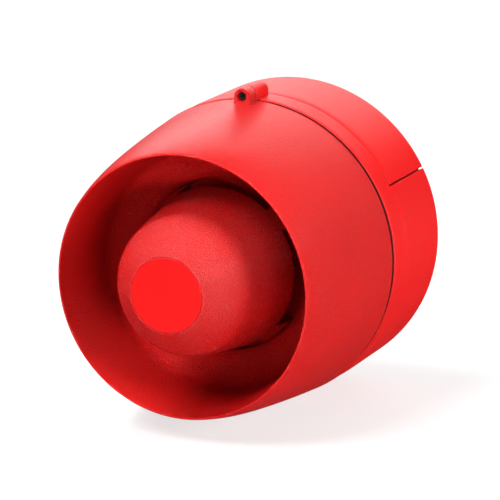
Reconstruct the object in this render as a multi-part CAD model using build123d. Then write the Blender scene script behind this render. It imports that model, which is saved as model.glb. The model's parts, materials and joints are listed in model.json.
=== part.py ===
from build123d import *
import os
from math import cos, radians, sin, sqrt

# A wall alarm sounder. The horn's axis lies along Y, the mouth faces -Y and the wall is the plane Y = 0.
# Angles round the axis are measured from the top (+Z) towards +X. Radii are measured from the axis.

# Overall sizes
TOTAL_DEPTH = 157.6
BASE_DEPTH = 69.7
SEAM_GAP = 1.05
WALL = 2.5
CLEARANCE = 0.3

# Horn skin, from the mouth to the seam
RIM_RADIUS = 68.6
RIM_LIP = 1.1
QUARTER_RADII = (73.4, 76.5, 79.0)
HEAD_REAR_RADIUS = 81.0
FLARE_RADIUS = 64.6
FLARE_DEPTH = 42.0
BOWL_RADIUS = 60.5
BOWL_DEPTH = 51.5
THROAT_OUTER_RADIUS = 50.0
THROAT_OUTER_DEPTH = 54.5
THROAT_RADIUS = 46.3
THROAT_DEPTH = 57.0
CHAMBER_DEPTH = 61.0
FLANGE_DEPTH = 65.0
FLANGE_THICKNESS = 2.4
FLANGE_RADIUS = 60.0
FLANGE_SCREW_CIRCLE = 55.8
FLANGE_SCREW_COUNT = 4
FLANGE_SCREW_ANGLE = 5.0

# Centre body that folds the horn
DISC_RADIUS = 19.1
DISC_THICKNESS = 2.0
NOSE_OVERHANG = 16.5
SHOULDER_RADIUS = 35.9
SHOULDER_DEPTH = 1.4
SKIRT_RADIUS = 42.9
SKIRT_DEPTH = 46.4
EAR_COUNT = 4
EAR_WIDTH = 15.0
EAR_ANGLE = 48.5
EAR_SCREW_CIRCLE = 42.5

# Throat plate and central tube
GASKET_THICKNESS = 1.0
THROAT_PLATE_THICKNESS = 2.4
TUBE_OUTER_RADIUS = 15.0
TUBE_BORE_RADIUS = 9.0
TUBE_MOUTH_BORE_RADIUS = 13.0
TUBE_MOUTH_DEPTH = -3.0
POST_CIRCLE = 52.0
POST_RADIUS = 3.5
POST_ANGLE = 25.0

# Compression driver, a stack behind the throat plate
DRIVER_RADIUS = 37.0
DRIVER_SCREW_CIRCLE = 34.4
FRONT_PLATE_THICKNESS = 4.0
CLAMP_THICKNESS = 3.6
POLE_PLATE_THICKNESS = 4.0
MAGNET_RADIUS = 30.0
MAGNET_BORE_RADIUS = 19.0
MAGNET_THICKNESS = 12.0
YOKE_THICKNESS = 5.0
POLE_RADIUS = 15.0
COIL_GAP_RADIUS = 16.6
DIAPHRAGM_RADIUS = 23.6
FORMER_RADIUS = 15.6

# Base
BASE_FRONT_RADIUS = 81.4
BASE_MIDDLE_RADIUS = 82.1
BASE_REAR_RADIUS = 83.0
BAND_DEPTH = 17.2
BACK_WALL = 3.0
SADDLE_HALF_ANGLE = 62.7
COVER_HALF_ANGLE = 62.0
COVER_INNER_RADIUS = 79.9
SADDLE_FLOOR_RADIUS = 79.4
WALL_HOLE_X = 50.0
WALL_HOLE_Z = 40.0
WALL_HOLE_RADIUS = 2.6
CABLE_HOLE_RADIUS = 10.0
CABLE_RADIUS = 4.0
CONDUIT_RADIUS = 10.0
CONDUIT_Y = -27.0

# Lug pair with its screw
LUG_CIRCLE = 84.5
LUG_RADIUS = 4.45
LUG_FRONT_Y = -79.4
LUG_RECESS_RADIUS = 2.7
LUG_RECESS_DEPTH = 5.9
SCREW_HEAD_RADIUS = 2.35
SCREW_RADIUS = 1.45
INSERT_RADIUS = 2.2
INSERT_BORE_RADIUS = 1.5

# Circuit boards
BOARD_THICKNESS = 1.6
HEAD_BOARD_Y = -52.0
HEAD_BOARD_RADIUS = 60.0
BASE_BOARD_Y = -30.0
BASE_BOARD_HALF_WIDTH = 42.0
BASE_BOARD_LOW = -60.0
BASE_BOARD_HIGH = -14.0
TERMINAL_COUNT = 8
TERMINAL_PITCH = 5.0
TERMINAL_Z = -22.0
CONTACT_COUNT = 6
CONTACT_PITCH = 5.0
CONTACT_Z = -50.0
DIP_COUNT = 6
DIP_PITCH = 2.54
DIP_PLACE = (-24.0, 22.0)
TRIMMER_PLACE = (0.0, 34.0)
TRANSFORMER_PLACE = (28.0, 12.0)
CAPACITOR_PLACES = ((-36.0, -6.0), (-22.0, -6.0))
CHIP_PLACE = (4.0, 12.0)

RIM_Y = -TOTAL_DEPTH
BASE_FRONT_Y = -BASE_DEPTH
HEAD_REAR_Y = BASE_FRONT_Y - SEAM_GAP
BAND_REAR_Y = BASE_FRONT_Y + BAND_DEPTH
FLANGE_REAR_Y = RIM_Y + FLANGE_DEPTH
PLATE_FRONT_Y = FLANGE_REAR_Y + GASKET_THICKNESS
PLATE_REAR_Y = PLATE_FRONT_Y + THROAT_PLATE_THICKNESS
FRONT_PLATE_REAR_Y = PLATE_REAR_Y + FRONT_PLATE_THICKNESS
CLAMP_REAR_Y = FRONT_PLATE_REAR_Y + CLAMP_THICKNESS
POLE_PLATE_REAR_Y = CLAMP_REAR_Y + POLE_PLATE_THICKNESS
MAGNET_REAR_Y = POLE_PLATE_REAR_Y + MAGNET_THICKNESS
YOKE_REAR_Y = MAGNET_REAR_Y + YOKE_THICKNESS
HEAD_BOARD_REAR_Y = HEAD_BOARD_Y + BOARD_THICKNESS
BASE_BOARD_REAR_Y = BASE_BOARD_Y + BOARD_THICKNESS
LUG_FLOOR_Y = LUG_FRONT_Y + LUG_RECESS_DEPTH


# ---------------------------------------------------------------- shape helpers

def behind_rim(distance):
    """Y of the plane that lies a distance behind the mouth's rim."""
    return RIM_Y + distance


def turned(*lines):
    """Solid turned about Y from a closed outline of lines drawn as (radius, y)."""
    outline = Wire([edge for line in lines for edge in line.edges()])
    return revolve(make_face(outline), Axis.Y)


def turned_outline(*points):
    """Solid turned about Y from a closed polygon of (radius, y) corners."""
    return revolve(make_face(Polyline(*points, close=True)), Axis.Y)


def rod(radius, front, back, x=0.0, z=0.0):
    """Cylinder along Y between two planes."""
    return Pos(x, (front + back) / 2, z) * Rot(90, 0, 0) * Cylinder(radius, back - front)


def tube(outer, inner, front, back, x=0.0, z=0.0):
    """Hollow cylinder along Y between two planes."""
    return rod(outer, front, back, x, z) - rod(inner, front - 1, back + 1, x, z)


def block(width, height, front, back, x=0.0, z=0.0):
    """Box between two planes, width along X and height along Z."""
    return Pos(x, (front + back) / 2, z) * Box(width, back - front, height)


def wedge(half_angle, front, back):
    """Sector of space about the top of the axis, a half angle to each side."""
    reach = 160.0
    corners = [(0.0, 0.0)]
    for angle in (-half_angle, 0.0, half_angle):
        corners.append((reach * sin(radians(angle)), reach * cos(radians(angle))))
    outline = Plane.XZ * make_face(Polyline(*corners, close=True))
    return Pos(0, back, 0) * extrude(outline, back - front)


def ring_places(radius, count, start):
    """(x, z) places evenly round the axis, the first at the start angle."""
    places = []
    for index in range(count):
        angle = radians(start + index * 360 / count)
        places.append((radius * sin(angle), radius * cos(angle)))
    return places


def row_places(count, pitch, z):
    """(x, z) places in a row along X, centred on the axis plane."""
    return [((index - (count - 1) / 2) * pitch, z) for index in range(count)]


def screw(x, z, head_y, tip_y, shank=1.3, head=2.6, head_height=1.8):
    """Pan-head screw along Y whose head's seat is at head_y and which points to tip_y."""
    outward = 1 if head_y > tip_y else -1
    head_end = head_y + outward * head_height
    body = rod(shank, min(head_y, tip_y), max(head_y, tip_y), x, z)
    top = rod(head, min(head_y, head_end), max(head_y, head_end), x, z)
    slot = block(0.8, 2 * head, head_end - 0.7, head_end + 0.7, x, z)
    return body + top - slot


def keep(shape, node):
    """Write one node's STEP file."""
    export_step(shape, f"parts/{node}.step")


# ---------------------------------------------------------------- head: horn and centre body

def horn_skin_points(inset):
    """Points of the skin's outline from the rim to the seam, moved in by the inset."""
    length = HEAD_REAR_Y - RIM_Y
    radii = (RIM_RADIUS,) + QUARTER_RADII + (HEAD_REAR_RADIUS,)
    return [(radius - inset, RIM_Y + length * index / 4) for index, radius in enumerate(radii)]


def horn_shell():
    """Outer skin and horn flare in one moulding, with the throat, its flange and the front lug."""
    outer = Spline(*horn_skin_points(0.0))
    inner_points = horn_skin_points(WALL)[1:]
    merge = (FLARE_RADIUS + 4.6, behind_rim(13.0))
    inner = Spline(merge, *inner_points)
    rear_edge = Line(outer @ 1, inner @ 1)
    wall = FLANGE_THICKNESS
    back = Polyline(
        merge,
        (FLARE_RADIUS + wall, behind_rim(FLARE_DEPTH)),
        (BOWL_RADIUS + wall, behind_rim(BOWL_DEPTH + 1.6)),
        (THROAT_OUTER_RADIUS + wall, behind_rim(THROAT_OUTER_DEPTH + wall)),
        (THROAT_OUTER_RADIUS + wall, behind_rim(FLANGE_DEPTH - wall)),
        (FLANGE_RADIUS, behind_rim(FLANGE_DEPTH - wall)),
        (FLANGE_RADIUS, FLANGE_REAR_Y),
        (THROAT_OUTER_RADIUS, FLANGE_REAR_Y),
        (THROAT_OUTER_RADIUS, behind_rim(CHAMBER_DEPTH)),
        (THROAT_RADIUS, behind_rim(THROAT_DEPTH + 1.8)),
        (THROAT_RADIUS, behind_rim(THROAT_DEPTH)),
        (THROAT_OUTER_RADIUS, behind_rim(THROAT_OUTER_DEPTH)),
    )
    bowl = ThreePointArc(
        (THROAT_OUTER_RADIUS, behind_rim(THROAT_OUTER_DEPTH)),
        (BOWL_RADIUS, behind_rim(BOWL_DEPTH)),
        (FLARE_RADIUS, behind_rim(FLARE_DEPTH)),
    )
    mouth_radius = RIM_RADIUS - RIM_LIP
    flare = Line((FLARE_RADIUS, behind_rim(FLARE_DEPTH)), (mouth_radius, RIM_Y))
    lip = Line((mouth_radius, RIM_Y), (RIM_RADIUS, RIM_Y))
    shell = turned(outer, rear_edge, inner, back, bowl, flare, lip)
    for x, z in ring_places(FLANGE_SCREW_CIRCLE, FLANGE_SCREW_COUNT, FLANGE_SCREW_ANGLE):
        shell += rod(3.8, behind_rim(THROAT_OUTER_DEPTH + 0.7), FLANGE_REAR_Y, x, z)
        shell -= rod(1.3, behind_rim(THROAT_OUTER_DEPTH + 4), FLANGE_REAR_Y + 1, x, z)
    shell += front_lug()
    shell += locating_tongue()
    return shell


def lug_body(front, back):
    """Round lug on a straight-sided foot that stands on the skin."""
    return rod(LUG_RADIUS, front, back, 0, LUG_CIRCLE) + block(
        2 * LUG_RADIUS, 5.4, front, back, 0, LUG_CIRCLE - 2.7)


def front_lug():
    """Lug on the head, recessed for the screw's head."""
    lug = lug_body(LUG_FRONT_Y, HEAD_REAR_Y)
    lug -= rod(LUG_RECESS_RADIUS, LUG_FRONT_Y - 1, LUG_FLOOR_Y, 0, LUG_CIRCLE)
    lug -= rod(1.75, LUG_FLOOR_Y - 1, HEAD_REAR_Y + 1, 0, LUG_CIRCLE)
    return lug


def locating_tongue():
    """Tongue under the head that enters the base and carries the head's lower edge."""
    width = 14.0
    root = block(width, 3.4, HEAD_REAR_Y - 4, HEAD_REAR_Y, 0, -77.5)
    tongue = block(width, 1.8, HEAD_REAR_Y - 4, HEAD_REAR_Y + 10, 0, -76.8)
    return root + tongue


def reflector_bullet():
    """Round-nosed hollow body that turns the sound back, with four ears on its skirt."""
    disc_seat_y = behind_rim(-NOSE_OVERHANG + DISC_THICKNESS)
    nose_y = behind_rim(-NOSE_OVERHANG + 0.3)
    shoulder_y = behind_rim(SHOULDER_DEPTH)
    skirt_y = behind_rim(SKIRT_DEPTH)
    flat_radius = DISC_RADIUS + 1.2
    outline = (
        Line((0, disc_seat_y), (DISC_RADIUS + 0.15, disc_seat_y)),
        Line((DISC_RADIUS + 0.15, disc_seat_y), (DISC_RADIUS + 0.15, nose_y)),
        Line((DISC_RADIUS + 0.15, nose_y), (flat_radius, nose_y)),
        Spline(
            (flat_radius, nose_y),
            (29.3, behind_rim(-7.6)),
            (SHOULDER_RADIUS, shoulder_y),
            tangents=((1, 0.35), (0.16, 1)),
        ),
        ThreePointArc(
            (SHOULDER_RADIUS, shoulder_y),
            (38.9, behind_rim(19.0)),
            (SKIRT_RADIUS, skirt_y),
        ),
        Line((SKIRT_RADIUS, skirt_y), (SKIRT_RADIUS - WALL, skirt_y)),
        ThreePointArc(
            (SKIRT_RADIUS - WALL, skirt_y),
            (38.9 - WALL, behind_rim(19.0)),
            (SHOULDER_RADIUS - WALL, shoulder_y),
        ),
        Spline(
            (SHOULDER_RADIUS - WALL, shoulder_y),
            (27.4, behind_rim(-5.9)),
            (17.5, disc_seat_y + WALL),
            tangents=((-0.16, -1), (-1, -0.3)),
        ),
        Line((17.5, disc_seat_y + WALL), (0, disc_seat_y + WALL)),
        Line((0, disc_seat_y + WALL), (0, disc_seat_y)),
    )
    bullet = turned(*outline)
    zone = tube(THROAT_RADIUS - CLEARANCE, SKIRT_RADIUS - WALL - 2.5, skirt_y - 3, PLATE_FRONT_Y)
    zone -= turned_outline(
        (SKIRT_RADIUS - 0.6, skirt_y - 4),
        (80, skirt_y - 4),
        (80, behind_rim(THROAT_DEPTH - 2)),
        (THROAT_RADIUS - CLEARANCE, behind_rim(THROAT_DEPTH - 2)),
    )
    for index, (x, z) in enumerate(ring_places(EAR_SCREW_CIRCLE, EAR_COUNT, EAR_ANGLE)):
        turn = Rot(0, EAR_ANGLE + index * 360 / EAR_COUNT, 0)
        arm = turn * block(EAR_WIDTH, 30, skirt_y - 4, PLATE_FRONT_Y, 0, 45)
        bullet += arm & zone
        bullet -= rod(1.3, PLATE_FRONT_Y - 8, PLATE_FRONT_Y + 1, x, z)
    return bullet


def nose_disc():
    """Smooth inlay disc on the nose."""
    front = behind_rim(-NOSE_OVERHANG)
    return rod(DISC_RADIUS, front, front + DISC_THICKNESS)


def throat_plate():
    """Rear wall of the folded horn with the central tube and four board posts."""
    plate = rod(FLANGE_RADIUS, PLATE_FRONT_Y, PLATE_REAR_Y)
    mouth_y = behind_rim(TUBE_MOUTH_DEPTH)
    plate += turned_outline(
        (0, PLATE_FRONT_Y),
        (0, mouth_y),
        (TUBE_OUTER_RADIUS, mouth_y),
        (TUBE_OUTER_RADIUS, PLATE_FRONT_Y - 6),
        (TUBE_OUTER_RADIUS + 6, PLATE_FRONT_Y),
    )
    plate -= turned_outline(
        (0, PLATE_REAR_Y + 1),
        (0, mouth_y - 1),
        (TUBE_MOUTH_BORE_RADIUS, mouth_y - 1),
        (TUBE_BORE_RADIUS, PLATE_REAR_Y + 1),
    )
    for x, z in ring_places(POST_CIRCLE, 4, POST_ANGLE):
        plate += rod(POST_RADIUS, PLATE_REAR_Y, HEAD_BOARD_Y, x, z)
        plate -= rod(1.3, HEAD_BOARD_Y - 9, HEAD_BOARD_Y + 1, x, z)
    for x, z in ring_places(FLANGE_SCREW_CIRCLE, FLANGE_SCREW_COUNT, FLANGE_SCREW_ANGLE):
        plate -= rod(1.6, PLATE_FRONT_Y - 1, PLATE_REAR_Y + 1, x, z)
    for x, z in ring_places(EAR_SCREW_CIRCLE, EAR_COUNT, EAR_ANGLE):
        plate -= rod(1.6, PLATE_FRONT_Y - 1, PLATE_REAR_Y + 1, x, z)
    for x, z in ring_places(DRIVER_SCREW_CIRCLE, 4, 0):
        plate -= rod(1.3, PLATE_FRONT_Y - 1, PLATE_REAR_Y + 1, x, z)
    return plate


def throat_gasket():
    """Flat rubber ring between the horn's flange and the throat plate."""
    gasket = tube(FLANGE_RADIUS - 0.5, THROAT_OUTER_RADIUS + 1.5, FLANGE_REAR_Y, PLATE_FRONT_Y)
    for x, z in ring_places(FLANGE_SCREW_CIRCLE, FLANGE_SCREW_COUNT, FLANGE_SCREW_ANGLE):
        gasket -= rod(1.6, FLANGE_REAR_Y - 1, PLATE_FRONT_Y + 1, x, z)
    return gasket


def flange_screws():
    """Screws that hold the throat plate to the horn's flange."""
    places = ring_places(FLANGE_SCREW_CIRCLE, FLANGE_SCREW_COUNT, FLANGE_SCREW_ANGLE)
    tip = behind_rim(THROAT_OUTER_DEPTH + 5)
    return Compound([screw(x, z, PLATE_REAR_Y, tip) for x, z in places])


def ear_screws():
    """Screws that hold the centre body's ears to the throat plate."""
    places = ring_places(EAR_SCREW_CIRCLE, EAR_COUNT, EAR_ANGLE)
    return Compound([screw(x, z, PLATE_REAR_Y, PLATE_FRONT_Y - 7) for x, z in places])


# ---------------------------------------------------------------- head: compression driver

def driver_disc(front, back, bore):
    """One round plate of the driver's stack with its screw holes."""
    disc = tube(DRIVER_RADIUS, bore, front, back)
    for x, z in ring_places(DRIVER_SCREW_CIRCLE, 4, 0):
        disc -= rod(1.5, front - 1, back + 1, x, z)
    return disc


def driver_front_plate():
    """Front plate with the throat opening that widens towards the diaphragm."""
    plate = driver_disc(PLATE_REAR_Y, FRONT_PLATE_REAR_Y, TUBE_BORE_RADIUS)
    plate -= turned_outline(
        (0, FRONT_PLATE_REAR_Y - 1.5),
        (TUBE_BORE_RADIUS, FRONT_PLATE_REAR_Y - 1.5),
        (FORMER_RADIUS + 6, FRONT_PLATE_REAR_Y + 0.1),
        (0, FRONT_PLATE_REAR_Y + 0.1),
    )
    return plate


def diaphragm_ring():
    """Spacer ring round the diaphragm's edge."""
    return driver_disc(FRONT_PLATE_REAR_Y, CLAMP_REAR_Y, DIAPHRAGM_RADIUS + 0.4)


def top_pole_plate():
    """Steel ring that forms the outer side of the magnetic gap."""
    return driver_disc(CLAMP_REAR_Y, POLE_PLATE_REAR_Y, COIL_GAP_RADIUS)


def magnet_ring():
    """Ferrite ring magnet."""
    return tube(MAGNET_RADIUS, MAGNET_BORE_RADIUS, POLE_PLATE_REAR_Y, MAGNET_REAR_Y)


def pole_yoke():
    """Back plate with the centre pole."""
    yoke = rod(MAGNET_RADIUS - 1, MAGNET_REAR_Y, YOKE_REAR_Y)
    return yoke + rod(POLE_RADIUS, CLAMP_REAR_Y + 0.6, MAGNET_REAR_Y)


def driver_cover():
    """Moulded cap over the magnet."""
    outer = rod(MAGNET_RADIUS + 1.7, POLE_PLATE_REAR_Y, YOKE_REAR_Y + 1.8)
    return outer - rod(MAGNET_RADIUS + 0.2, POLE_PLATE_REAR_Y - 1, YOKE_REAR_Y + 0.2)


def driver_screws():
    """Screws through the driver's stack into the throat plate."""
    places = ring_places(DRIVER_SCREW_CIRCLE, 4, 0)
    tip = PLATE_FRONT_Y + 0.4
    return Compound([screw(x, z, POLE_PLATE_REAR_Y, tip, head=2.2) for x, z in places])


def driver_terminals():
    """Two solder tags at the edge of the diaphragm's ring."""
    tags = []
    back = CLAMP_REAR_Y - 1.4
    for x in (-5.0, 5.0):
        tag = block(2.8, 6.0, back - 0.8, back, x, -DRIVER_RADIUS - 2)
        tags.append(tag - rod(DRIVER_RADIUS, back - 2, back + 1))
    return Compound(tags)


def diaphragm():
    """Thin dome with a flat edge."""
    edge_y = FRONT_PLATE_REAR_Y + 1.0
    skin = 0.5
    ball = 60.0
    centre_y = edge_y + sqrt(ball ** 2 - FORMER_RADIUS ** 2)
    dome = Pos(0, centre_y, 0) * (Sphere(ball) - Sphere(ball - skin))
    dome = dome & rod(FORMER_RADIUS, edge_y - 6, edge_y + skin)
    edge = tube(DIAPHRAGM_RADIUS, FORMER_RADIUS - 0.8, edge_y, edge_y + skin)
    return dome + edge


def coil_former():
    """Paper tube that joins the coil to the diaphragm."""
    return tube(FORMER_RADIUS, FORMER_RADIUS - 0.18, FRONT_PLATE_REAR_Y + 1.5, POLE_PLATE_REAR_Y + 1)


def voice_coil():
    """Copper winding in the magnetic gap."""
    return tube(FORMER_RADIUS + 0.5, FORMER_RADIUS, CLAMP_REAR_Y, POLE_PLATE_REAR_Y + 0.6)


# ---------------------------------------------------------------- head: circuit board

def circuit_board():
    """Round main board behind the driver."""
    board = rod(HEAD_BOARD_RADIUS, HEAD_BOARD_Y, HEAD_BOARD_REAR_Y)
    for x, z in ring_places(POST_CIRCLE, 4, POST_ANGLE):
        board -= rod(1.6, HEAD_BOARD_Y - 1, HEAD_BOARD_REAR_Y + 1, x, z)
    return board


def board_screws():
    """Screws that hold the main board to the posts."""
    places = ring_places(POST_CIRCLE, 4, POST_ANGLE)
    return Compound([screw(x, z, HEAD_BOARD_REAR_Y, HEAD_BOARD_Y - 8) for x, z in places])


def dip_slider_places():
    """(x, z) of each setting slider at its rest end."""
    x, z = DIP_PLACE
    return [(x + (index - (DIP_COUNT - 1) / 2) * DIP_PITCH, z - 0.8) for index in range(DIP_COUNT)]


def dip_switch_body():
    """Housing of the tone switches with one slot for each slider."""
    x, z = DIP_PLACE
    body = block(DIP_COUNT * DIP_PITCH + 2, 9.6, HEAD_BOARD_REAR_Y, HEAD_BOARD_REAR_Y + 5, x, z)
    for slider_x, slider_z in dip_slider_places():
        top = HEAD_BOARD_REAR_Y + 5
        body -= block(1.6, 3.6, top - 2.2, top + 1, slider_x, slider_z + 0.8)
    return body


def dip_slider(index):
    """One small slider of the tone switches."""
    x, z = dip_slider_places()[index]
    top = HEAD_BOARD_REAR_Y + 5
    return block(1.0, 1.4, top - 1.9, top + 0.7, x, z)


def trimmer_body():
    """Housing of the volume control."""
    x, z = TRIMMER_PLACE
    top = HEAD_BOARD_REAR_Y + 5
    body = block(9.6, 9.6, HEAD_BOARD_REAR_Y, top, x, z)
    return body - rod(3.3, top - 2.4, top + 1, x, z)


def trimmer_rotor():
    """Slotted rotor of the volume control."""
    x, z = TRIMMER_PLACE
    top = HEAD_BOARD_REAR_Y + 5
    return rod(3.0, top - 2.1, top + 0.4, x, z) - block(0.8, 5.0, top - 0.6, top + 1, x, z)


def transformer_core():
    """Ferrite ring of the step-up transformer."""
    x, z = TRANSFORMER_PLACE
    return tube(11.0, 5.4, HEAD_BOARD_REAR_Y + 1.6, HEAD_BOARD_REAR_Y + 8.6, x, z)


def transformer_winding():
    """Copper turns over the ferrite ring."""
    x, z = TRANSFORMER_PLACE
    front = HEAD_BOARD_REAR_Y
    winding = tube(12.4, 4.0, front + 0.2, front + 10, x, z)
    return winding - tube(11.0, 5.4, front + 1.6, front + 8.6, x, z)


def capacitors():
    """Two reservoir capacitors standing on the board."""
    cans = []
    for x, z in CAPACITOR_PLACES:
        can = rod(5.0, HEAD_BOARD_REAR_Y, HEAD_BOARD_REAR_Y + 12, x, z)
        cans.append(fillet(can.edges().group_by(Axis.Y)[-1], 0.6))
    return Compound(cans)


def controller_chip():
    """Tone generator with its legs."""
    x, z = CHIP_PLACE
    chip = block(10.0, 6.0, HEAD_BOARD_REAR_Y + 0.3, HEAD_BOARD_REAR_Y + 2, x, z)
    for leg in range(8):
        leg_x = x + (leg - 3.5) * 1.2
        chip += block(0.5, 9.0, HEAD_BOARD_REAR_Y, HEAD_BOARD_REAR_Y + 0.8, leg_x, z)
    return chip


def contact_plug():
    """Housing of the contacts that plug into the base."""
    width = CONTACT_COUNT * CONTACT_PITCH + 4
    plug = block(width, 8.0, HEAD_BOARD_REAR_Y, HEAD_BOARD_REAR_Y + 6.4, 0, CONTACT_Z)
    for x, z in row_places(CONTACT_COUNT, CONTACT_PITCH, CONTACT_Z):
        plug -= block(1.0, 1.0, HEAD_BOARD_REAR_Y - 1, HEAD_BOARD_REAR_Y + 8, x, z)
    return plug


def contact_pins():
    """Square pins of the plug."""
    pins = []
    for x, z in row_places(CONTACT_COUNT, CONTACT_PITCH, CONTACT_Z):
        pins.append(block(1.0, 1.0, HEAD_BOARD_REAR_Y, BASE_BOARD_Y - 3.5, x, z))
    return Compound(pins)


# ---------------------------------------------------------------- lug screw

def screw_washer():
    """Washer that travels with the captive screw."""
    return tube(2.4, SCREW_RADIUS + 0.05, LUG_FLOOR_Y - 0.75, LUG_FLOOR_Y - 0.25, 0, LUG_CIRCLE)


def lug_screw():
    """Captive socket-head screw that locks the head to the base."""
    seat = LUG_FLOOR_Y - 0.8
    head = rod(SCREW_HEAD_RADIUS, seat - 2.4, seat, 0, LUG_CIRCLE)
    hexagon = Plane.XZ * RegularPolygon(1.3, 6)
    socket = Pos(0, seat - 1, LUG_CIRCLE) * extrude(hexagon, 3)
    return head - socket + rod(SCREW_RADIUS, seat, BASE_FRONT_Y + 5.4, 0, LUG_CIRCLE)


# ---------------------------------------------------------------- base

def base_outline(inset):
    """Edges of the base's outer face from the seam to the rounded rear edge."""
    middle = (BASE_MIDDLE_RADIUS - inset, -BASE_DEPTH / 2)
    rear = (BASE_REAR_RADIUS - inset, -3.0)
    side = ThreePointArc((BASE_FRONT_RADIUS - inset, BASE_FRONT_Y), middle, rear)
    return side, rear


def base_shell():
    """Deep base with a round skin, a recess for the entry cover and the rear lug."""
    side, rear = base_outline(0.0)
    edge = RadiusArc(rear, (BASE_REAR_RADIUS - 3.0, 0), -3.0)
    inner_front = (BASE_FRONT_RADIUS - WALL, BASE_FRONT_Y)
    inner_rear = (BASE_REAR_RADIUS - WALL - 0.4, -BACK_WALL)
    inner = Line(inner_front, inner_rear)
    rest = Polyline(inner_rear, (0, -BACK_WALL), (0, 0), (BASE_REAR_RADIUS - 3.0, 0))
    shell = turned(side, edge, inner, rest, Line(inner_front, (BASE_FRONT_RADIUS, BASE_FRONT_Y)))
    saddle = tube(100, SADDLE_FLOOR_RADIUS, BAND_REAR_Y, 1) & wedge(SADDLE_HALF_ANGLE, BAND_REAR_Y, 1)
    shell -= saddle
    floor = tube(SADDLE_FLOOR_RADIUS, SADDLE_FLOOR_RADIUS - WALL, BAND_REAR_Y - WALL, 0)
    shell += floor & wedge(SADDLE_HALF_ANGLE + 2, BAND_REAR_Y - WALL, 0)
    lug = lug_body(BASE_FRONT_Y, BAND_REAR_Y - 0.4)
    shell += lug
    shell -= rod(INSERT_RADIUS, BASE_FRONT_Y - 1, BASE_FRONT_Y + 12, 0, LUG_CIRCLE)
    for x in (-WALL_HOLE_X, WALL_HOLE_X):
        for z in (-WALL_HOLE_Z, WALL_HOLE_Z):
            shell -= rod(WALL_HOLE_RADIUS, -BACK_WALL - 1, 1, x, z)
    shell -= rod(CABLE_HOLE_RADIUS, -BACK_WALL - 1, 1)
    shell -= Pos(0, CONDUIT_Y, SADDLE_FLOOR_RADIUS) * Cylinder(CONDUIT_RADIUS, 12)
    for x, z in base_post_places():
        shell += rod(POST_RADIUS, BASE_BOARD_REAR_Y, -BACK_WALL, x, z)
        shell -= rod(1.3, BASE_BOARD_REAR_Y - 1, BASE_BOARD_REAR_Y + 9, x, z)
    return shell


def base_post_places():
    """(x, z) of the four posts under the base board."""
    x = BASE_BOARD_HALF_WIDTH - 6
    low = BASE_BOARD_LOW + 6
    high = BASE_BOARD_HIGH - 6
    return [(-x, low), (x, low), (-x, high), (x, high)]


def joint_seal():
    """Rubber ring in the seam between base and head."""
    return tube(80.4, BASE_FRONT_RADIUS - WALL, BASE_FRONT_Y - SEAM_GAP + CLEARANCE, BASE_FRONT_Y)


def entry_cover():
    """Curved cover over the conduit entry, flush with the base's skin."""
    side, rear = base_outline(0.0)
    edge = RadiusArc(rear, (BASE_REAR_RADIUS - 3.0, 0), -3.0)
    rest = Polyline(
        (BASE_REAR_RADIUS - 3.0, 0),
        (COVER_INNER_RADIUS, 0),
        (COVER_INNER_RADIUS, BASE_FRONT_Y),
        (BASE_FRONT_RADIUS, BASE_FRONT_Y),
    )
    front = BAND_REAR_Y + 0.4
    cover = turned(side, edge, rest) & wedge(COVER_HALF_ANGLE, front, -CLEARANCE)
    return cover


def base_board():
    """Terminal board on the base's posts."""
    height = BASE_BOARD_HIGH - BASE_BOARD_LOW
    centre = (BASE_BOARD_HIGH + BASE_BOARD_LOW) / 2
    board = block(2 * BASE_BOARD_HALF_WIDTH, height, BASE_BOARD_Y, BASE_BOARD_REAR_Y, 0, centre)
    for x, z in base_post_places():
        board -= rod(1.6, BASE_BOARD_Y - 1, BASE_BOARD_REAR_Y + 1, x, z)
    return board


def base_board_screws():
    """Screws that hold the terminal board to the posts."""
    return Compound([screw(x, z, BASE_BOARD_Y, BASE_BOARD_REAR_Y + 8) for x, z in base_post_places()])


def terminal_block():
    """Row of wire terminals with wire entries on the upper side."""
    front = BASE_BOARD_Y - 11
    width = TERMINAL_COUNT * TERMINAL_PITCH + 1
    body = block(width, 9.0, front, BASE_BOARD_Y, 0, TERMINAL_Z)
    for x, z in row_places(TERMINAL_COUNT, TERMINAL_PITCH, TERMINAL_Z):
        body -= rod(1.9, front - 1, front + 3.5, x, z)
        body -= block(3.2, 4.0, BASE_BOARD_Y - 5.2, BASE_BOARD_Y - 1.8, x, z + 4)
    return body


def terminal_screws():
    """Clamp screws of the wire terminals."""
    front = BASE_BOARD_Y - 11
    screws = []
    for x, z in row_places(TERMINAL_COUNT, TERMINAL_PITCH, TERMINAL_Z):
        head = rod(1.8, front + 1.4, front + 3.5, x, z)
        screws.append(head - block(0.6, 4, front + 1, front + 2.2, x, z))
    return Compound(screws)


def contact_socket():
    """Socket that takes the head's contact pins."""
    width = CONTACT_COUNT * CONTACT_PITCH + 4
    socket = block(width, 8.0, BASE_BOARD_Y - 12, BASE_BOARD_Y, 0, CONTACT_Z)
    for x, z in row_places(CONTACT_COUNT, CONTACT_PITCH, CONTACT_Z):
        socket -= block(1.8, 1.8, BASE_BOARD_Y - 13, BASE_BOARD_Y - 2, x, z)
    return socket


def lug_insert():
    """Threaded brass insert in the rear lug."""
    return tube(INSERT_RADIUS, INSERT_BORE_RADIUS, BASE_FRONT_Y, BASE_FRONT_Y + 11, 0, LUG_CIRCLE)


def cable_grommet():
    """Rubber grommet in the rear cable hole."""
    grommet = rod(CABLE_HOLE_RADIUS, -BACK_WALL, 0) + rod(12.5, -BACK_WALL - 1.6, -BACK_WALL)
    return grommet - rod(CABLE_RADIUS, -BACK_WALL - 3, 1)


def blanking_plug():
    """Plug that closes the upper conduit entry."""
    neck = Pos(0, CONDUIT_Y, 77.2) * Cylinder(CONDUIT_RADIUS - 0.1, 2.8)
    flange = Pos(0, CONDUIT_Y, 74.8) * Cylinder(CONDUIT_RADIUS + 2, 2.0)
    return neck + flange


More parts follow.
